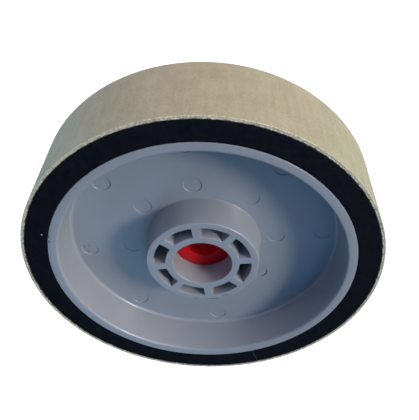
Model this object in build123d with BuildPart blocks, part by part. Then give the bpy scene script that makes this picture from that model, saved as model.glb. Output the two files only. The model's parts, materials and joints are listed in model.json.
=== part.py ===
from build123d import *
import os
from math import cos, degrees, radians, sin

os.makedirs("parts", exist_ok=True)

# A soft resin diamond wheel: a moulded plastic core, a foam cushion round it, a cloth-backed
# diamond belt over the foam, and a reducing bushing in the core's bore.
#
# Frame: millimetres, +Z up. The origin is the wheel's centre and the axle runs along Y. The
# near face looks along -Y. Angles are in degrees, counter-clockwise from +X as seen from the
# near side.

# ---- driving dimensions ----
wheel_diameter = 152.4  # 6 in
wheel_width = 38.1  # 1.5 in

coat_thickness = 0.65  # resin and diamond
backing_thickness = 0.85  # cloth
film_thickness = 0.1  # each adhesive film, and the splice tape
film_inset = 0.6  # how far the films stop short of each face
foam_thickness = 9.3

lip_thickness = 4.2  # the core's rim at its faces
wall_base_radius = 59.5  # inside of the rim where it meets the web
wall_fillet = 1.6
lip_round = 1.2
web_thickness = 4.7

boss_length = 33.1
boss_face_radius = 24.2
boss_base_radius = 25.3
boss_fillet = 0.4
boss_round = 0.5
bore_diameter = 25.4  # 1 in
bore_chamfer = 0.2

rib_count = 8
rib_width = 3.4
first_rib_angle = 9.7
pocket_inner_radius = 16.0
pocket_outer_radius = 21.15
pocket_corner = 0.5

pin_mark_radius = 3.85
pin_mark_depth = 0.35
pin_mark_rings = (32.5, 52.8)

foam_joint_angle = -66.0
foam_joint_gap = 0.3
splice_angle = -112.0
splice_gap = 0.2
splice_slant = 30.0  # the belt's cut, measured from the axle's direction
tape_width = 20.0

bushing_length = 22.2  # 7/8 in
bushing_bore_diameter = 12.7  # 1/2 in
bushing_clearance = 0.05  # radial, in the core's bore
bushing_sink = 0.1  # how far its far end lies inside the boss
bushing_chamfer = 0.2

# ---- radii from the outside in, and half widths ----
tread_radius = wheel_diameter / 2
coat_inner = tread_radius - coat_thickness
backing_inner = coat_inner - backing_thickness
foam_outer = backing_inner - film_thickness
foam_inner = foam_outer - foam_thickness
core_radius = foam_inner - film_thickness
lip_inner_radius = core_radius - lip_thickness
bore_radius = bore_diameter / 2

wheel_half = wheel_width / 2
web_half = web_thickness / 2
boss_half = boss_length / 2
film_width = wheel_width - 2 * film_inset

counter_clockwise = Axis((0, 0, 0), (0, -1, 0))  # the axle, for arcs seen from the near side


def radial_plane(angle):
    """The plane through the axle whose X axis points outwards at this angle."""
    x, z = cos(radians(angle)), sin(radians(angle))
    return Plane(origin=(0, 0, 0), x_dir=(x, 0, z), z_dir=(-z, 0, x))


def ring_section(inner, outer, width, angle=0.0, middle=0.0):
    """The section of a plain ring, centred on middle along the axle."""
    with BuildSketch(radial_plane(angle)) as section:
        with Locations(((inner + outer) / 2, middle)):
            Rectangle(outer - inner, width)
    return section.sketch


def at_radius(sketch, radius):
    """The corners of a section that lie at this radius."""
    return sketch.vertices().filter_by(lambda corner: abs(corner.X - radius) < 0.001)


# ---- core: a single plastic moulding, the same from both faces ----
half_outline = [
    (bore_radius, boss_half),
    (boss_face_radius, boss_half),
    (boss_base_radius, web_half),
    (wall_base_radius, web_half),
    (lip_inner_radius, wheel_half),
    (core_radius, wheel_half),
]
outline = half_outline + [(radius, -along) for radius, along in reversed(half_outline)]
rounded_corners = {
    wall_base_radius: wall_fillet,
    boss_base_radius: boss_fillet,
    lip_inner_radius: lip_round,
    boss_face_radius: boss_round,
}

with BuildPart() as wheel_core:
    with BuildSketch(Plane.XY) as core_section:
        with BuildLine():
            Polyline(*outline, close=True)
        make_face()
        for corner_radius, rounding in rounded_corners.items():
            fillet(at_radius(core_section, corner_radius), rounding)
        chamfer(at_radius(core_section, bore_radius), bore_chamfer)
    revolve(axis=Axis.Y)

    # pockets between the ribs, from each face down to the web
    for side in (1, -1):
        with BuildSketch(Plane.XZ.offset(side * boss_half)) as pockets:
            Circle(pocket_outer_radius)
            Circle(pocket_inner_radius, mode=Mode.SUBTRACT)
            with PolarLocations(0, rib_count, start_angle=first_rib_angle):
                Rectangle(
                    boss_base_radius,
                    rib_width,
                    align=(Align.MIN, Align.CENTER),
                    mode=Mode.SUBTRACT,
                )
            fillet(pockets.vertices(), pocket_corner)
        extrude(amount=-side * (boss_half - web_half), mode=Mode.SUBTRACT)

    # shallow recesses left by the ejector pins, on the near side of the web
    with BuildSketch(Plane.XZ.offset(web_half - pin_mark_depth)):
        for ring_radius in pin_mark_rings:
            with PolarLocations(ring_radius, rib_count, start_angle=first_rib_angle):
                Circle(pin_mark_radius)
    extrude(amount=2 * pin_mark_depth, mode=Mode.SUBTRACT)

# ---- adhesive film between the core and the foam ----
with BuildPart() as core_adhesive:
    add(ring_section(core_radius, foam_inner, film_width))
    revolve(axis=Axis.Y)

# ---- foam cushion: a strip wrapped round the core, with a butt joint ----
with BuildPart() as foam_cushion:
    add(ring_section(foam_inner, foam_outer, wheel_width))
    revolve(axis=Axis.Y)
    with BuildSketch(radial_plane(foam_joint_angle)):
        with Locations(((foam_inner + foam_outer) / 2, 0)):
            Rectangle(2 * foam_thickness, 2 * wheel_width)
    extrude(amount=foam_joint_gap / 2, both=True, mode=Mode.SUBTRACT)

# ---- tape behind the belt's splice; the belt's adhesive film fills the rest of its layer ----
tape_arc = degrees(tape_width / foam_outer)

with BuildPart() as splice_tape:
    add(ring_section(foam_outer, backing_inner, film_width, splice_angle - tape_arc / 2))
    revolve(axis=counter_clockwise, revolution_arc=tape_arc)

with BuildPart() as belt_adhesive:
    add(ring_section(foam_outer, backing_inner, film_width, splice_angle + tape_arc / 2))
    revolve(axis=counter_clockwise, revolution_arc=360 - tape_arc)

# ---- belt: the cloth backing and the coat on it, cut on a slant where its ends meet ----
outwards = radial_plane(splice_angle).x_dir
across = Vector(0, 1, 0).rotate(Axis((0, 0, 0), outwards), splice_slant)
splice_plane = Plane(
    origin=outwards * tread_radius,
    x_dir=outwards,
    z_dir=outwards.cross(across),
)

with BuildPart() as belt_backing:
    add(ring_section(backing_inner, coat_inner, wheel_width))
    revolve(axis=Axis.Y)
    with BuildSketch(splice_plane):
        Rectangle(foam_thickness, 2 * wheel_width)
    extrude(amount=splice_gap / 2, both=True, mode=Mode.SUBTRACT)

with BuildPart() as abrasive_coat:
    add(ring_section(coat_inner, tread_radius, wheel_width))
    revolve(axis=Axis.Y)
    with BuildSketch(splice_plane):
        Rectangle(foam_thickness, 2 * wheel_width)
    extrude(amount=splice_gap / 2, both=True, mode=Mode.SUBTRACT)

# ---- reducing bushing: a plain sleeve, pushed in from the far side ----
bushing_inner = bushing_bore_diameter / 2
bushing_outer = bore_radius - bushing_clearance
bushing_middle = boss_half - bushing_sink - bushing_length / 2

with BuildPart() as arbor_bushing:
    with BuildSketch(Plane.XY) as sleeve_section:
        add(ring_section(bushing_inner, bushing_outer, bushing_length, middle=bushing_middle))
        chamfer(sleeve_section.vertices(), bushing_chamfer)
    revolve(axis=Axis.Y)

# ---- one STEP file for each piece ----
pieces = {
    "wheel_core": wheel_core,
    "core_adhesive": core_adhesive,
    "foam_cushion": foam_cushion,
    "belt_adhesive": belt_adhesive,
    "splice_tape": splice_tape,
    "belt_backing": belt_backing,
    "abrasive_coat": abrasive_coat,
    "arbor_bushing": arbor_bushing,
}
for piece_name, piece in pieces.items():
    piece.part.label = piece_name
    export_step(piece.part, f"parts/{piece_name}.step")
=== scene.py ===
import json
import math

import bmesh
import bpy
import numpy as np
from mathutils import Matrix, Vector
from mathutils.geometry import delaunay_2d_cdt


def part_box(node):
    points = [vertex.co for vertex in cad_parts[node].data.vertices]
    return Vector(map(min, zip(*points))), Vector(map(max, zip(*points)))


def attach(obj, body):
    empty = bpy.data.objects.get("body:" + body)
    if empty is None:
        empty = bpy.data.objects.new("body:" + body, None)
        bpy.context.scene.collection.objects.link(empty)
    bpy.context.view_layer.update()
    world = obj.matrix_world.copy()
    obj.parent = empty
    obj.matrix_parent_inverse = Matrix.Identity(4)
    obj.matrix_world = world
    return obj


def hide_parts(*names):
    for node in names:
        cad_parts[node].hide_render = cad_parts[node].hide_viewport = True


# A soft resin diamond wheel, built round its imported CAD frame. Everything is in metres: the
# axle runs along Y, +Z is up, and the near face looks along -Y. Angles run counter-clockwise
# from +X as seen from the near side.

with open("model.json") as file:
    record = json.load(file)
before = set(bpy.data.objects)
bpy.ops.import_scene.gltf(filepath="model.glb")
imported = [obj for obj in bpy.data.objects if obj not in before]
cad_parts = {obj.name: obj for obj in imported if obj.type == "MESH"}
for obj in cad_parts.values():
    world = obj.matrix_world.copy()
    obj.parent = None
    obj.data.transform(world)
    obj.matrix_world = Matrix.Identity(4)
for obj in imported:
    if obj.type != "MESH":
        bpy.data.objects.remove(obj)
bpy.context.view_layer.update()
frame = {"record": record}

MM = 0.001
TURN = 2 * math.pi
QUARTER = math.pi / 2
NEAR, FAR = -1, 1  # which way along the axle a side of the wheel faces
WELD = 0.5e-6  # points nearer than this are one point
CREASE = math.radians(35)  # an edge that bends more than this is sharp


# ---- sizes: what the frame gives, then what its boxes can't say ----
def outer_radius(node):
    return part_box(node)[1].x


def ends(node):
    """Where a node starts and stops along the axle."""
    low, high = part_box(node)
    return low.y, high.y


tread_radius = outer_radius("abrasive_coat")
coat_inner = outer_radius("belt_backing")
backing_inner = outer_radius("belt_adhesive")
foam_outer = outer_radius("foam_cushion")
foam_inner = outer_radius("core_adhesive")
core_radius = outer_radius("wheel_core")
wheel_half = ends("wheel_core")[1]
film_half = ends("core_adhesive")[1]
bushing_ends = ends("arbor_bushing")
bushing_radius = outer_radius("arbor_bushing")
bushing_bore = frame["record"]["mounts"][0]["dims"]["r_mm"] * MM
boss_half = -frame["record"]["mounts"][1]["pos_m"][1]

# the core; a plane is the flat ring between the fillets of the web or of the boss's face
lip_thickness = 4.2 * MM
lip_round = 1.2 * MM
outer_edge_round = 0.25 * MM
wall_base_radius = 59.5 * MM
wall_fillet = 1.6 * MM
web_half = 2.35 * MM
web_plane_outer = 57.0 * MM
web_plane_inner = 26.4 * MM
boss_base_radius = 25.3 * MM
boss_face_radius = 24.2 * MM
boss_plane_outer = boss_face_radius - 0.75 * MM
boss_fillet = 0.4 * MM
boss_round = 0.5 * MM
bore_radius = 12.7 * MM
boss_plane_inner = bore_radius + 0.6 * MM
chamfer = 0.2 * MM
chamfer_round = 0.08 * MM

# the boss's ribs and the pockets between them
rib_count = 8
rib_half = 1.7 * MM
first_rib_angle = math.radians(9.7)
pocket_inner = 16.0 * MM
pocket_outer = 21.15 * MM
pocket_corner = 0.5 * MM

# ejector-pin marks: one in line with each rib on each of two rings
pin_mark_radius = 3.85 * MM
pin_mark_depth = 0.35 * MM
pin_mark_rings = (32.5 * MM, 52.8 * MM)

# where the foam and the belt are joined
foam_joint_angle = math.radians(-66)
foam_joint_gap = 0.3 * MM
splice_angle = math.radians(-112)
splice_slant = math.radians(30)
splice_gap = 0.2 * MM
tape_width = 20 * MM

# how many faces each piece has round it
core_segments = 620
pin_mark_segments = 48
layer_segments = 1440
film_segments = 480
bushing_segments = 256


# ---- mesh tools ----
def polar(radius, angle):
    return radius * math.cos(angle), radius * math.sin(angle)


def circle(radius, segments, centre=(0.0, 0.0)):
    places = [polar(radius, TURN * k / segments) for k in range(segments)]
    return [(centre[0] + x, centre[1] + y) for x, y in places]


def turned(pairs, angle):
    c, s = math.cos(angle), math.sin(angle)
    return [(x * c - y * s, x * s + y * c) for x, y in pairs]


def grown(outline, normals, amount):
    """An outline with each point moved out along its own normal."""
    return [(x + amount * nx, y + amount * ny) for (x, y), (nx, ny) in zip(outline, normals)]


def rounded(corners, steps):
    """An open outline from (radius, along, rounding) corners, each rounded by an arc."""
    points = []
    for i, (x, y, rounding) in enumerate(corners):
        here = Vector((x, y))
        if rounding == 0 or i in (0, len(corners) - 1):
            points.append(here)
            continue
        back = (Vector(corners[i - 1][:2]) - here).normalized()
        on = (Vector(corners[i + 1][:2]) - here).normalized()
        half = back.angle(on) / 2
        centre = here + (back + on).normalized() * rounding / math.sin(half)
        reach = rounding / math.tan(half)
        first, last = here + back * reach - centre, here + on * reach - centre
        turn = first.angle_signed(last)
        for step in range(steps + 1):
            angle = -turn * step / steps
            points.append(centre + Matrix.Rotation(angle, 2) @ first)
    return [(p.x, p.y) for p in points]


def lathe(outline, segments, start=0.0, sweep=TURN, shear=0.0, shift=None, loop=False):
    """Vertices and faces of an outline of (radius, along) points swept round the axle.

    shear turns each point by that many radians for every metre along the axle, and shift
    moves points radially and along the axle by two arrays of (columns, points). loop closes
    the outline on itself."""
    outline = np.array(outline)
    full = abs(sweep - TURN) < 1e-9
    columns = segments if full else segments + 1
    radius = np.repeat(outline[None, :, 0], columns, 0)
    along = np.repeat(outline[None, :, 1], columns, 0)
    angle = start + sweep * np.arange(columns)[:, None] / segments + shear * along
    if shift is not None:
        radius, along = radius + shift[0], along + shift[1]
    verts = np.stack([radius * np.cos(angle), along, radius * np.sin(angle)], 2).reshape(-1, 3)
    count = len(outline)
    i = np.arange(segments)[:, None]
    j = np.arange(count if loop else count - 1)[None, :]
    after, up = (i + 1) % columns, (j + 1) % count
    corners = (i * count + j, after * count + j, after * count + up, i * count + up)
    faces = np.stack(np.broadcast_arrays(*corners), 2).reshape(-1, 4).tolist()
    if not full:
        faces += [list(range(count)), list(range(segments * count, columns * count))[::-1]]
    return verts, faces


def mesh_piece(name, parts, body, material, stands_for):
    """One object from several (vertices, faces) parts, welded where they meet."""
    whole = bmesh.new()
    for verts, faces in parts:
        made = [whole.verts.new(v) for v in verts]
        for face in faces:
            whole.faces.new([made[k] for k in face])
    bmesh.ops.remove_doubles(whole, verts=whole.verts, dist=WELD)
    bmesh.ops.recalc_face_normals(whole, faces=whole.faces)
    mesh = bpy.data.meshes.new(name)
    whole.to_mesh(mesh)
    whole.free()
    mesh.shade_smooth()
    mesh.set_sharp_from_angle(angle=CREASE)
    mesh.materials.append(material)
    piece = bpy.data.objects.new(name, mesh)
    bpy.context.scene.collection.objects.link(piece)
    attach(piece, body)
    if stands_for:
        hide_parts(stands_for)
    return piece


def inside(points, outline):
    """Which of the points lie inside a closed outline."""
    x, y = points[:, 0][:, None], points[:, 1][:, None]
    ring = np.array(outline)
    x0, y0 = ring[:, 0][None], ring[:, 1][None]
    x1, y1 = np.roll(ring, -1, 0)[:, 0][None], np.roll(ring, -1, 0)[:, 1][None]
    crosses = (y0 > y) != (y1 > y)
    rise = np.where(y1 == y0, 1.0, y1 - y0)
    hits = crosses & (x < (x1 - x0) * (y - y0) / rise + x0)
    return hits.sum(1) % 2 == 1


def plate(outer, holes, along):
    """A flat face across the axle, bounded by an outline, with holes in it."""
    points, edges = [], []
    for outline in [outer, *holes]:
        first = len(points)
        points += [Vector(p) for p in outline]
        count = len(outline)
        edges += [(first + k, first + (k + 1) % count) for k in range(count)]
    verts, _, faces, _, _, _ = delaunay_2d_cdt(points, edges, [], 0, 1e-8)
    flat = np.array([v[:] for v in verts])
    middle = np.array([flat[list(f)].mean(0) for f in faces])
    keep = inside(middle, outer)
    for hole in holes:
        keep &= ~inside(middle, hole)
    used = [f for f, k in zip(faces, keep) if k]
    return [(x, along, y) for x, y in flat], used


def well(outline, normals, rings, side):
    """A sunk pocket: its outline grown by each ring's first value, with the ring's second
    value its distance from the wheel's middle plane, towards that side."""
    count = len(outline)
    verts, faces = [], []
    for amount, height in rings:
        verts += [(x, side * height, y) for x, y in grown(outline, normals, amount)]
    for ring in range(len(rings) - 1):
        for k in range(count):
            a, b = ring * count + k, ring * count + (k + 1) % count
            faces.append([a, b, b + count, a + count])
    last = (len(rings) - 1) * count
    faces.append([last + k for k in range(count)])
    return verts, faces


def soft_noise(columns, rows, column_blur, row_blur, rng):
    """Smooth noise on a grid, of unit spread, that closes on itself round the columns."""
    noise = rng.standard_normal((columns, rows))
    fc, fr = np.fft.fftfreq(columns)[:, None], np.fft.fftfreq(rows)[None]
    blur = np.exp(-2 * math.pi**2 * ((column_blur * fc) ** 2 + (row_blur * fr) ** 2))
    noise = np.fft.ifft2(np.fft.fft2(noise) * blur).real
    return noise / noise.std()


# ---- material tools ----
class Shader:
    """A short way to write a material's nodes. Sizes are in millimetres."""

    def __init__(self, name, **fixed):
        self.material = bpy.data.materials.new(name)
        self.material.use_nodes = True
        self.tree = self.material.node_tree
        self.principled = self.tree.nodes["Principled BSDF"]
        for socket, value in fixed.items():
            self.principled.inputs[socket.replace("_", " ")].default_value = value
        self.place = self.add("TexCoord").outputs["Object"]

    def add(self, kind, **settings):
        node = self.tree.nodes.new("ShaderNode" + kind)
        for key, value in settings.items():
            setattr(node, key, value)
        return node

    def link(self, source, target):
        self.tree.links.new(source, target)

    def stretched(self, scale):
        """The object's own coordinates in millimetres, each times a factor."""
        mapping = self.add("Mapping")
        mapping.inputs["Scale"].default_value = [s / MM for s in scale]
        self.link(self.place, mapping.inputs["Vector"])
        return mapping.outputs["Vector"]

    def noise(self, size, detail=3.0, roughness=0.55, scale=(1, 1, 1), distortion=0.0):
        """Noise whose features are about this many millimetres across."""
        node = self.add("TexNoise")
        node.inputs["Scale"].default_value = 1 / size
        node.inputs["Detail"].default_value = detail
        node.inputs["Roughness"].default_value = roughness
        node.inputs["Distortion"].default_value = distortion
        self.link(self.stretched(scale), node.inputs["Vector"])
        return node.outputs["Fac"]

    def cells(self, size, output="Distance"):
        """Voronoi cells about this many millimetres across."""
        node = self.add("TexVoronoi", feature="F1")
        node.inputs["Scale"].default_value = 1 / size
        self.link(self.stretched((1, 1, 1)), node.inputs["Vector"])
        return node.outputs[output]

    def ramp(self, value, stops):
        """A value turned into a grey or a colour, by stops of (value, grey or colour)."""
        node = self.add("ValToRGB")
        while len(node.color_ramp.elements) < len(stops):
            node.color_ramp.elements.new(0.5)
        for element, (at, colour) in zip(node.color_ramp.elements, stops):
            element.position = at
            grey = isinstance(colour, (int, float))
            element.color = (colour, colour, colour, 1) if grey else (*colour, 1)
        self.link(value, node.inputs["Fac"])
        return node.outputs["Color"]

    def mix(self, share, first, second, blend="MIX"):
        node = self.add("Mix", data_type="RGBA", blend_type=blend)
        for name, value in (("Factor", share), ("A", first), ("B", second)):
            socket = next(s for s in node.inputs if s.name == name and s.enabled)
            if isinstance(value, bpy.types.NodeSocket):
                self.link(value, socket)
            elif name == "Factor":
                socket.default_value = value
            else:
                socket.default_value = (*value, 1)
        return next(s for s in node.outputs if s.enabled)

    def math(self, operation, first, second):
        node = self.add("Math", operation=operation)
        for socket, value in zip(node.inputs, (first, second)):
            if isinstance(value, bpy.types.NodeSocket):
                self.link(value, socket)
            else:
                socket.default_value = value
        return node.outputs[0]

    def toned(self, colour, other, where, share):
        """A colour that goes this share of the way to another where a value is 1."""
        return self.mix(self.math("MULTIPLY", where, share), colour, other)

    def between(self, value, low, high):
        """0 where the value is at its low end and 1 at its high end."""
        node = self.add("MapRange")
        node.inputs["From Min"].default_value = low
        node.inputs["From Max"].default_value = high
        self.link(value, node.inputs["Value"])
        return node.outputs["Result"]

    def spot(self, place, size, turn=0.0):
        """1 on an oval spot of a face across the axle, fading to 0 round its edge, and turned
        by this many degrees."""
        mapping = self.add("Mapping", vector_type="TEXTURE")
        mapping.inputs["Location"].default_value = [v * MM for v in place]
        mapping.inputs["Rotation"].default_value = (0, -math.radians(turn), 0)
        mapping.inputs["Scale"].default_value = [v * MM / 2 for v in size]
        self.link(self.place, mapping.inputs["Vector"])
        length = self.add("VectorMath", operation="LENGTH")
        self.link(mapping.outputs["Vector"], length.inputs[0])
        return self.between(length.outputs["Value"], 1.0, 0.6)

    def from_middle(self):
        """How far a point is from the wheel's middle plane."""
        split = self.add("SeparateXYZ")
        self.link(self.stretched((1, 1, 1)), split.inputs["Vector"])
        return self.math("ABSOLUTE", split.outputs["Y"], 0)

    def from_axle(self):
        """How far a point is from the axle."""
        length = self.add("VectorMath", operation="LENGTH")
        self.link(self.stretched((1, 0, 1)), length.inputs[0])
        return length.outputs["Value"]

    def bump(self, height, depth, after=None):
        """A bump of this depth, on top of another."""
        node = self.add("Bump")
        node.inputs["Distance"].default_value = depth * MM
        self.link(height, node.inputs["Height"])
        if after is not None:
            self.link(after, node.inputs["Normal"])
        return node.outputs["Normal"]

    def finish(self, colour, roughness, normal):
        """The finished material. A roughness of None stays the number on the shader."""
        for name, socket in (("Base Color", colour), ("Roughness", roughness), ("Normal", normal)):
            if socket is not None:
                self.link(socket, self.principled.inputs[name])
        return self.material


def core_plastic():
    """Grey moulded nylon with faint clouds, dust, scuffs, and a few dark marks: thin lines along
    the lower edge of the boss's face, nicks in the lip and scratches on the web.
    """
    s = Shader("core_plastic", Specular_IOR_Level=0.5, Coat_Weight=0.6, Coat_Roughness=0.22)
    cloudy = s.noise(26, 2.0)
    colour = s.ramp(cloudy, ((0.3, (0.260, 0.266, 0.294)), (0.7, (0.280, 0.286, 0.314))))
    dust = s.ramp(s.noise(0.55, 1.0), ((0.70, 0.0), (0.78, 1.0)))
    colour = s.toned(colour, (0.42, 0.43, 0.44), dust, 0.10)
    boss, lip, web = (NEAR * half / MM for half in (boss_half, wheel_half, web_half))
    # the first three darken thin lines along the lower edge of the boss's face; then come two
    # nicks in the lip and three scratches on the web
    dark_marks = (
        ((-2.0, boss, -23.4), (2.6, 2, 0.5)),
        ((5.6, boss, -22.8), (7.0, 2, 0.7), 8),
        ((10.8, boss, -20.1), (4.2, 2, 0.7), 12),
        ((-63.1, lip, 14.6), (0.8, 2, 2.4), 12),
        ((-63.4, lip, 11.8), (0.7, 2, 2.0), 8),
        ((-54.6, web, -8.2), (0.5, 2, 3.4), 28),
        ((-53.0, web, -10.8), (0.5, 2, 3.6), 32),
        ((-52.2, web, -7.4), (0.4, 2, 2.4), 20),
    )
    for dark_mark in dark_marks:
        colour = s.toned(colour, (0.02, 0.02, 0.03), s.spot(*dark_mark), 0.8)
    scuffs = s.noise(1.6, 3.0, 0.6, scale=(0.25, 1.0, 1.3), distortion=0.4)
    roughness = s.ramp(scuffs, ((0.35, 0.36), (0.75, 0.47)))
    waves = s.bump(s.noise(14, 1.0), 0.10)
    peel = s.bump(s.noise(0.5, 2.0), 0.006, after=waves)
    return s.finish(colour, roughness, peel)


def foam():
    """Black cut foam rubber, with pores, a pale glued joint and one stray fleck."""
    s = Shader("foam", Specular_IOR_Level=0.04)
    mottle = s.noise(2.2, 4.0, 0.65)
    colour = s.ramp(mottle, ((0.3, (0.0040, 0.0048, 0.0075)), (0.75, (0.0080, 0.0090, 0.0130))))
    specks = s.ramp(s.cells(2.6), ((0.03, 1.0), (0.05, 0.0)))
    colour = s.toned(colour, (0.35, 0.35, 0.36), specks, 0.10)
    near_face = NEAR * wheel_half / MM
    joint_radius = 70.4
    x, z = polar(joint_radius, foam_joint_angle)
    joint = s.spot((x, near_face, z), (13, 6, 0.7), math.degrees(foam_joint_angle))
    colour = s.toned(colour, (0.07, 0.10, 0.12), joint, 0.5)
    fleck = s.spot((-65.9, near_face, 15.6), (0.8, 2, 0.8))
    colour = s.mix(fleck, colour, (0.5, 0.5, 0.5))
    pores = s.bump(s.cells(0.45), 0.10)
    grain = s.bump(s.noise(0.9, 3.0, 0.7), 0.08, after=pores)
    roughness = s.ramp(s.noise(3.0, 2.0), ((0.3, 0.72), (0.7, 0.88)))
    return s.finish(colour, roughness, grain)


def backing_cloth():
    """Cut ends of cotton yarns, with dark specks and glue smeared up from the inner edge."""
    s = Shader("backing_cloth", Specular_IOR_Level=0.2)
    yarn = s.cells(0.8, output="Color")
    yarns = s.ramp(yarn, ((0.2, (0.60, 0.53, 0.39)), (0.8, (0.96, 0.85, 0.63))))
    fibres = s.ramp(s.noise(0.3, 4.0, 0.7), ((0.35, 0.68), (0.65, 1.0)))
    colour = s.mix(1.0, yarns, fibres, blend="MULTIPLY")
    specks = s.ramp(s.cells(1.7), ((0.14, 1.0), (0.20, 0.0)))
    colour = s.toned(colour, (0.06, 0.05, 0.05), specks, 0.75)
    # glue reaches out from the inner edge as far as the noise lets it
    ragged = s.math("ADD", s.from_axle(), s.math("MULTIPLY", s.noise(1.3, 3.0, 0.7), 1.1))
    smear = s.between(ragged, backing_inner / MM + 0.95, backing_inner / MM + 0.70)
    colour = s.toned(colour, (0.02, 0.02, 0.025), smear, 0.9)
    fuzz = s.bump(s.noise(0.25, 4.0, 0.7), 0.12)
    roughness = s.ramp(s.noise(1.0), ((0.3, 0.85), (0.7, 0.98)))
    return s.finish(colour, roughness, fuzz)


def diamond_resin():
    """Tan resin full of grit: streaks along the axle, pits, pale grains and frayed edges."""
    s = Shader("diamond_resin", Specular_IOR_Level=0.5)
    streaks = s.noise(2.4, 3.0, 0.6, scale=(1, 0.12, 1))
    clouds = s.noise(9.0, 2.0, 0.5)
    tone = s.math("ADD", s.math("MULTIPLY", streaks, 0.55), s.math("MULTIPLY", clouds, 0.45))
    resin = s.ramp(tone, ((0.35, (0.290, 0.272, 0.174)), (0.65, (0.350, 0.334, 0.228))))
    drift = s.noise(20, 1.0, scale=(1, 0.6, 1))
    hue = s.ramp(drift, ((0.35, (1.0, 0.96, 0.98)), (0.65, (0.95, 0.98, 0.92))))
    resin = s.mix(1.0, resin, hue, blend="MULTIPLY")
    pits = s.ramp(s.noise(0.7, 2.0, 0.6), ((0.30, 0.82), (0.55, 1.0)))
    grit = s.ramp(s.cells(1.1), ((0.10, 1.0), (0.22, 0.0)))
    colour = s.mix(1.0, resin, pits, blend="MULTIPLY")
    colour = s.toned(colour, (0.62, 0.58, 0.50), grit, 0.16)
    edge = s.between(s.from_middle(), wheel_half / MM - 0.45, wheel_half / MM - 0.15)
    frayed = s.math("MULTIPLY", edge, s.ramp(s.noise(0.8, 2.0), ((0.36, 0.1), (0.60, 0.8))))
    colour = s.mix(frayed, colour, (0.74, 0.66, 0.50))
    coarse = s.bump(s.noise(0.8, 3.0, 0.6), 0.05)
    fine = s.bump(s.noise(0.22, 3.0, 0.7), 0.03, after=coarse)
    roughness = s.ramp(s.noise(1.5, 3.0), ((0.3, 0.46), (0.7, 0.60)))
    return s.finish(colour, roughness, fine)


def bushing_plastic():
    """Red plastic that lets some light through."""
    s = Shader("bushing_plastic", Specular_IOR_Level=0.2, Subsurface_Weight=1.0)
    s.principled.inputs["Subsurface Scale"].default_value = 9 * MM
    s.principled.inputs["Subsurface Radius"].default_value = (1.0, 0.15, 0.15)
    colour = s.ramp(s.noise(6.0, 2.0), ((0.3, (0.60, 0.004, 0.008)), (0.7, (0.67, 0.006, 0.011))))
    roughness = s.ramp(s.noise(1.2, 3.0, scale=(1, 0.2, 1)), ((0.3, 0.32), (0.7, 0.44)))
    peel = s.bump(s.noise(0.6, 2.0), 0.008)
    return s.finish(colour, roughness, peel)


def adhesive():
    """Amber glue with stringy lumps."""
    s = Shader("adhesive", Specular_IOR_Level=0.5)
    colour = s.ramp(s.noise(1.4, 3.0), ((0.3, (0.30, 0.19, 0.07)), (0.7, (0.44, 0.30, 0.13))))
    roughness = s.ramp(s.noise(0.8), ((0.3, 0.25), (0.7, 0.45)))
    strings = s.bump(s.noise(0.7, 3.0, 0.6), 0.05)
    return s.finish(colour, roughness, strings)


def tape_film():
    """Pale splice tape, with its reinforcing threads round the belt."""
    s = Shader("tape_film", Specular_IOR_Level=0.5)
    threads = s.noise(0.35, 1.0, scale=(0.1, 1, 0.1))
    colour = s.ramp(threads, ((0.4, (0.62, 0.56, 0.40)), (0.6, (0.74, 0.68, 0.52))))
    roughness = s.ramp(s.noise(1.0), ((0.3, 0.30), (0.7, 0.42)))
    return s.finish(colour, roughness, s.bump(threads, 0.02))


def studio_floor():
    """White paper that stays white to the camera, whatever light falls on it."""
    s = Shader("studio_floor", Specular_IOR_Level=0.2, Roughness=0.9)
    s.principled.inputs["Emission Color"].default_value = (1.0, 1.0, 1.0, 1)
    s.principled.inputs["Emission Strength"].default_value = 1.0
    paper = s.ramp(s.noise(40, 2.0), ((0.3, (0.36, 0.355, 0.35)), (0.7, (0.38, 0.375, 0.37))))
    return s.finish(paper, None, s.bump(s.noise(1.2, 2.0), 0.02))


# ---- core ----
def pocket_outline():
    """One pocket between two ribs: its points, and the ways out of it, round its edge."""
    span = TURN / rib_count
    trim = 0.01  # radians left off each end of a long arc, clear of its corner's last point
    points, normals = [], []

    def arc(centre, radius, start, stop, steps, outwards=1):
        for k in range(steps + 1):
            x, y = polar(1, start + (stop - start) * k / steps)
            points.append((centre[0] + radius * x, centre[1] + radius * y))
            normals.append((outwards * x, outwards * y))

    # corner centres beside the first rib, in its own frame; the second rib's are mirrored
    side = rib_half + pocket_corner
    outer_centre = (math.sqrt((pocket_outer - pocket_corner) ** 2 - side**2), side)
    inner_centre = (math.sqrt((pocket_inner + pocket_corner) ** 2 - side**2), side)
    outer_angle, inner_angle = (math.atan2(c[1], c[0]) for c in (outer_centre, inner_centre))

    def mirrored(centre):
        return polar(math.hypot(*centre), span - math.atan2(centre[1], centre[0]))

    def corner(centre, start, stop):
        arc(centre, pocket_corner, start, stop, 4)

    corner(outer_centre, -QUARTER, outer_angle)
    arc((0, 0), pocket_outer, outer_angle + trim, span - outer_angle - trim, 14)
    corner(mirrored(outer_centre), span - outer_angle, span + QUARTER)
    corner(mirrored(inner_centre), span + QUARTER, span + math.pi - inner_angle)
    arc((0, 0), pocket_inner, span - inner_angle - trim, inner_angle + trim, 10, -1)
    corner(inner_centre, math.pi + inner_angle, TURN - QUARTER)
    return points, normals


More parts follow.
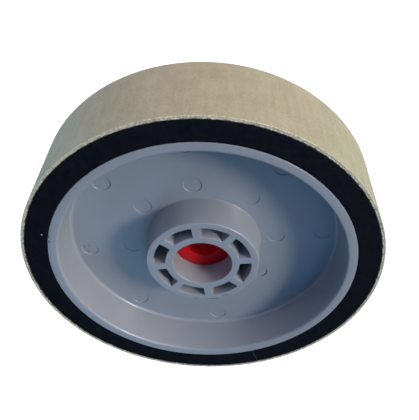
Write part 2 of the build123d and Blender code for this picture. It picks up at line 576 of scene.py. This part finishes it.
def boss_face(side):
    """The flat end of the boss on one side, with its pockets."""
    edge, draft, floor_round, margin = 0.22 * MM, -0.10 * MM, 0.3 * MM, 0.2 * MM
    quarter_turn = [QUARTER * k / 4 for k in range(5)]
    points, normals = pocket_outline()
    rings = [(edge + margin, boss_half)]
    for a in quarter_turn:
        rings.append((edge * (1 - math.sin(a)), boss_half - edge * (1 - math.cos(a))))
    for k in (1, 2, 3):
        rings.append((draft * k / 4, boss_half - (boss_half - web_half) * k / 4))
    for a in quarter_turn:
        inset, height = floor_round * (1 - math.cos(a)), floor_round * (1 - math.sin(a))
        rings.append((draft - inset, web_half + height))
    parts, holes = [], []
    for rib in range(rib_count):
        angle = first_rib_angle + TURN * rib / rib_count
        outline, ways = turned(points, angle), turned(normals, angle)
        parts.append(well(outline, ways, rings, side))
        holes.append(grown(outline, ways, edge + margin))
    rim = circle(boss_plane_outer, core_segments)
    mouth = circle(boss_plane_inner, core_segments)
    parts.append(plate(rim, [mouth, *holes], side * boss_half))
    return parts


def pin_marks():
    """The near side of the web, with its ejector-pin recesses."""
    margin = 0.22 * MM
    # how far out of the mark's edge each ring is, and how deep: a crisp rounded rim, a
    # steep wall and a small fillet to the floor
    profile = ((0.08, 0), (0.02, 0.05), (-0.02, 0.26))
    rings = [(margin, web_half)]
    rings += [(out * MM, web_half - depth * MM) for out, depth in profile]
    rings += [(out * MM, web_half - pin_mark_depth) for out in (-0.10, -0.50)]
    ways = circle(1.0, pin_mark_segments)
    parts, holes = [], []
    for ring_radius in pin_mark_rings:
        for rib in range(rib_count):
            centre = polar(ring_radius, first_rib_angle + TURN * rib / rib_count)
            outline = circle(pin_mark_radius, pin_mark_segments, centre)
            parts.append(well(outline, ways, rings, NEAR))
            holes.append(circle(pin_mark_radius + margin, pin_mark_segments, centre))
    outer = circle(web_plane_outer, core_segments)
    inner = circle(web_plane_inner, core_segments)
    parts.append(plate(outer, [inner, *holes], NEAR * web_half))
    return parts


def core():
    lip_inner = core_radius - lip_thickness
    rim = [
        (web_plane_outer, -web_half, 0),
        (wall_base_radius, -web_half, wall_fillet),
        (lip_inner, -wheel_half, lip_round),
        (core_radius, -wheel_half, outer_edge_round),
        (core_radius, wheel_half, outer_edge_round),
        (lip_inner, wheel_half, lip_round),
        (wall_base_radius, web_half, wall_fillet),
        (boss_base_radius, web_half, boss_fillet),
        (boss_face_radius, boss_half, boss_round),
        (boss_plane_outer, boss_half, 0),
    ]
    near_boss = [
        (web_plane_inner, -web_half, 0),
        (boss_base_radius, -web_half, boss_fillet),
        (boss_face_radius, -boss_half, boss_round),
        (boss_plane_outer, -boss_half, 0),
    ]
    bore = [
        (boss_plane_inner, -boss_half, 0),
        (bore_radius + chamfer, -boss_half, chamfer_round),
        (bore_radius, -boss_half + chamfer, chamfer_round),
        (bore_radius, boss_half - chamfer, chamfer_round),
        (bore_radius + chamfer, boss_half, chamfer_round),
        (boss_plane_inner, boss_half, 0),
    ]
    parts = [lathe(rounded(o, 8), core_segments) for o in (rim, near_boss, bore)]
    parts += boss_face(NEAR) + boss_face(FAR) + pin_marks()
    mesh_piece("core_moulding", parts, "wheel", core_plastic(), "wheel_core")


core()


# ---- layers round the core ----
def section(inner, outer, half, rounding, steps):
    """A closed ring section, as (radius, along) points, from inner near. steps are how many
    it has across each face, along its outside and along its inside."""
    across, outside, inside_steps = steps
    points = []
    r0, r1 = inner + rounding, outer - rounding
    y0, y1 = -half + rounding, half - rounding

    def corner(x, y, start):
        for k in (1, 2, 3):
            dx, dy = polar(rounding, start + QUARTER * k / 4)
            points.append((x + dx, y + dy))

    for k in range(across + 1):
        points.append((r0 + (r1 - r0) * k / across, -half))
    corner(r1, y0, -QUARTER)
    for k in range(outside + 1):
        points.append((outer, y0 + (y1 - y0) * k / outside))
    corner(r1, y1, 0)
    for k in range(across + 1):
        points.append((r1 - (r1 - r0) * k / across, half))
    corner(r0, y1, QUARTER)
    for k in range(inside_steps + 1):
        points.append((inner, y1 - (y1 - y0) * k / inside_steps))
    corner(r0, y0, 2 * QUARTER)
    return points


def foam_ring():
    """The foam tyre, cut across at its glued joint, with faces a little uneven."""
    rough_depth, wave_depth = 0.025 * MM, 0.03 * MM
    gap = foam_joint_gap / foam_outer
    outline = section(foam_inner, foam_outer, wheel_half, 0.35 * MM, (22, 4, 4))
    columns = layer_segments + 1
    rng = np.random.default_rng(11)
    rough = soft_noise(columns, len(outline), 0.7, 0.7, rng) * rough_depth
    wavy = soft_noise(columns, len(outline), 18, 5, rng) * wave_depth
    radius, along = np.array(outline).T
    on_face = (np.abs(along) > wheel_half - 0.4 * MM) & (radius > foam_inner + 0.2 * MM)
    on_face &= radius < foam_outer - 0.2 * MM
    inward = -np.sign(along) * on_face
    shift = (np.zeros_like(rough), inward[None] * np.abs(rough + wavy))
    start = foam_joint_angle + gap / 2
    made = lathe(outline, layer_segments, start, TURN - gap, shift=shift, loop=True)
    piece = mesh_piece("foam_ring", [made], "wheel", foam(), "foam_cushion")


def belt_layer(name, inner, outer, rounding, steps, shift, material, node):
    """A layer of the belt: a ring cut on a slant at the splice."""
    gap = splice_gap / outer
    shear = -math.tan(splice_slant) / tread_radius
    outline = section(inner, outer, wheel_half, rounding, steps)
    start = splice_angle + gap / 2
    made = lathe(outline, layer_segments, start, TURN - gap, shear, shift(outline), loop=True)
    return mesh_piece(name, [made], "wheel", material, node)


def cloth_shift(outline):
    """Yarn ends that stand out of the cloth's cut edges by uneven amounts."""
    yarn_reach, tuck, sideways = 0.09 * MM, 0.06 * MM, 0.03 * MM
    rng = np.random.default_rng(5)
    columns = layer_segments + 1
    along = np.array(outline)[:, 1]
    on_edge = np.abs(along) > wheel_half - 0.15 * MM
    outward = (np.sign(along) * on_edge)[None]
    yarns = np.clip(soft_noise(columns, len(outline), 0.8, 0.8, rng), -2.2, 1.2)
    side = on_edge[None] * soft_noise(columns, len(outline), 0.9, 0.8, rng) * sideways
    return side, outward * (yarns * yarn_reach - tuck)


def coat_shift(outline):
    """Grit that gives the tread its fine pebbled surface, and slightly chipped edges."""
    grit_depth, swell_depth, chip_depth = 0.022 * MM, 0.012 * MM, 0.10 * MM
    rng = np.random.default_rng(3)
    columns = layer_segments + 1
    radius, along = np.array(outline).T
    outside = radius > tread_radius - 0.05 * MM
    grit = soft_noise(columns, len(outline), 0.7, 0.7, rng) * grit_depth
    swell = soft_noise(columns, len(outline), 14, 4, rng) * swell_depth
    on_edge = np.abs(along) > wheel_half - 0.12 * MM
    chips = np.clip(soft_noise(columns, len(outline), 1.2, 1.0, rng) - 0.6, 0, 2) * chip_depth
    inward = (-np.sign(along) * on_edge)[None]
    return outside[None] * -np.abs(grit + swell), inward * chips


def frayed_ends(material):
    """Loose fibre ends along both cut edges of the cloth, each a thin bent spike."""
    per_side = 1500
    root_depth, edge_margin = 0.15 * MM, 0.1 * MM
    rng = np.random.default_rng(21)
    verts, faces = [], []
    for side in (NEAR, FAR):
        for angle in np.sort(rng.uniform(0, TURN, per_side)):
            radius = rng.uniform(backing_inner + edge_margin, coat_inner - edge_margin)
            length = rng.uniform(0.15, 0.55) * MM
            thick = rng.uniform(0.035, 0.07) * MM
            x, z = polar(radius, angle)
            root = Vector((x, side * (wheel_half - root_depth), z))
            lean = rng.normal(0, 0.55, 2)
            out, around = Vector((x, 0, z)).normalized(), Vector((-z, 0, x)).normalized()
            way = (Vector((0, side, 0)) + out * lean[0] * 0.6 + around * lean[1]).normalized()
            bend = (out * rng.normal(0, 0.3) + around * rng.normal(0, 0.5)) * length
            first = len(verts)
            for share, width in ((0, 1.0), (0.5, 0.9), (1.0, 0.35)):
                middle = root + way * (length + root_depth) * share + bend * share**2
                for k in range(3):
                    c, s = polar(1, TURN * k / 3)
                    verts.append(middle + (out * c + around * s) * thick * width)
            for ring in (0, 3):
                for k in range(3):
                    a, b = first + ring + k, first + ring + (k + 1) % 3
                    faces.append([a, b, b + 3, a + 3])
            faces.append([first + 2, first + 1, first])
            faces.append([first + 6, first + 7, first + 8])
    made = [(verts, faces)]
    return mesh_piece("cloth_fibres", made, "wheel", material, None)


def film(name, inner, outer, start, sweep, material, slot, node):
    """A thin layer round the axle, or part of the way round."""
    outline = section(inner, outer, film_half, 0.02 * MM, (1, 6, 6))
    made = lathe(outline, film_segments, start, sweep, loop=True)
    mesh_piece(name, [made], "wheel", material, node)


def belt():
    cloth = backing_cloth()
    belt_cloth = belt_layer(
        "belt_cloth",
        backing_inner,
        coat_inner,
        0.1 * MM,
        (5, 8, 8),
        cloth_shift,
        cloth,
        "belt_backing",
    )
    fibres = frayed_ends(cloth)
    belt_layer(
        "diamond_coat",
        coat_inner,
        tread_radius,
        0.12 * MM,
        (3, 84, 6),
        coat_shift,
        diamond_resin(),
        "abrasive_coat",
    )


def films():
    glue = adhesive()
    tape = tape_width / foam_outer
    tape_start, tape_end = splice_angle - tape / 2, splice_angle + tape / 2
    in_belt = (foam_outer, backing_inner)
    film("core_film", core_radius, foam_inner, 0, TURN, glue, "adhesive", "core_adhesive")
    film("belt_film", *in_belt, tape_end, TURN - tape, glue, "adhesive", "belt_adhesive")
    film("joint_tape", *in_belt, tape_start, tape, tape_film(), "tape_film", "splice_tape")


foam_ring()
belt()
films()


# ---- bushing ----
def bushing():
    near, far = bushing_ends
    middle = (near + far) / 2
    corners = [
        (bushing_bore, near + chamfer),
        (bushing_bore + chamfer, near),
        (bushing_radius - chamfer, near),
        (bushing_radius, near + chamfer),
        (bushing_radius, far - chamfer),
        (bushing_radius - chamfer, far),
        (bushing_bore + chamfer, far),
        (bushing_bore, far - chamfer),
    ]
    seam = (bushing_bore, middle, 0)
    outline = rounded([seam, *((x, y, chamfer_round) for x, y in corners), seam], 4)
    made = lathe(outline, bushing_segments)
    plastic = bushing_plastic()
    mesh_piece("red_bushing", [made], "bushing", plastic, "arbor_bushing")


bushing()


# ---- floor, lights and camera ----
def floor():
    """A white floor that the wheel stands on, with white walls and a ceiling a long way off.
    Only the camera sees them, so they cast no light or shade on the wheel."""
    reach = 4.0
    mesh = bpy.data.meshes.new("floor")
    square = [(-reach, -reach), (reach, -reach), (reach, reach), (-reach, reach)]
    corners = [(x, y, z) for z in (-tread_radius, 2 * reach) for x, y in square]
    walls = [(k, (k + 1) % 4, (k + 1) % 4 + 4, k + 4) for k in range(4)]
    mesh.from_pydata(corners, [], [(0, 1, 2, 3), (4, 5, 6, 7), *walls])
    mesh.materials.append(studio_floor())
    box = bpy.data.objects.new("floor", mesh)
    bpy.context.scene.collection.objects.link(box)
    box.visible_diffuse = False
    box.visible_glossy = False
    box.visible_transmission = False
    box.visible_shadow = False


def soft_light(name, azimuth, elevation, half_angle, strength, colour):
    """A round softbox, seen from the wheel's centre as a disc of this half angle. Azimuth is
    round from +X as seen from the near side, and elevation is out of the wheel's plane
    towards the near side, all in degrees."""
    distance = 2.0
    a, e = math.radians(azimuth), math.radians(elevation)
    way = Vector((math.cos(e) * math.cos(a), -math.sin(e), math.cos(e) * math.sin(a)))
    light = bpy.data.lights.new(name, "AREA")
    light.shape = "DISK"
    light.size = 2 * distance * math.tan(math.radians(half_angle))
    light.energy = strength * math.pi * distance**2
    light.color = colour
    lamp = bpy.data.objects.new(name, light)
    lamp.location = way * distance
    lamp.rotation_euler = (-way).to_track_quat("-Z", "Y").to_euler()
    lamp.visible_camera = False
    bpy.context.scene.collection.objects.link(lamp)


def sky():
    """Soft light from the right (+X) and from behind (+Y), fading to none on the other side."""
    world = bpy.data.worlds.new("sky")
    world.use_nodes = True
    nodes, links = world.node_tree.nodes, world.node_tree.links
    place = nodes.new("ShaderNodeTexCoord")
    split = nodes.new("ShaderNodeSeparateXYZ")
    links.new(place.outputs["Generated"], split.inputs["Vector"])
    total = nodes.new("ShaderNodeVectorMath")
    sides = (("X", (0.64, 0.63, 0.47)), ("Y", (0.50, 0.66, 0.76)))
    for term, (axis, shade) in zip(total.inputs, sides):
        toward = nodes.new("ShaderNodeMath")
        toward.operation = "MAXIMUM"
        toward.inputs[1].default_value = 0
        links.new(split.outputs[axis], toward.inputs[0])
        tint = nodes.new("ShaderNodeVectorMath")
        tint.operation = "SCALE"
        tint.inputs[0].default_value = shade
        links.new(toward.outputs[0], tint.inputs["Scale"])
        links.new(tint.outputs["Vector"], term)
    links.new(total.outputs["Vector"], nodes["Background"].inputs["Color"])
    bpy.context.scene.world = world


def camera():
    """Near and above, looking down at the near face, as the photograph does."""
    data = bpy.data.cameras.new("camera")
    data.sensor_width = 36
    data.lens = 47.12
    data.clip_start = 0.01
    place = Vector((1.94, -175.79, 176.13)) * MM
    tilt = Matrix.Rotation(math.radians(90 - 42.24), 4, "X")
    roll = Matrix.Rotation(math.radians(2.826), 4, "Z")
    eye = bpy.data.objects.new("camera", data)
    eye.matrix_world = Matrix.Translation(place) @ tilt @ roll
    bpy.context.scene.collection.objects.link(eye)
    bpy.context.scene.camera = eye


floor()
soft_light("key", 29, 31.5, 7, 2.21, (1.0, 0.966, 0.906))
soft_light("glow", 60, 10, 20, 1.57, (0.88, 0.85, 1.0))
soft_light("front", 0, 75, 20, 0.81, (0.02, 0.40, 1.0))
soft_light("left", 140, 30, 15, 0.64, (0.53, 0.63, 1.0))
soft_light("low", 258, 35, 15, 0.24, (0.36, 0.74, 1.0))
soft_light("above", 105, -20, 20, 1.40, (1.0, 0.46, 0.34))
soft_light("rim", 172, -12, 20, 1.60, (0.24, 0.72, 1.0))
sky()
camera()
bpy.context.scene.view_settings.view_transform = "Standard"
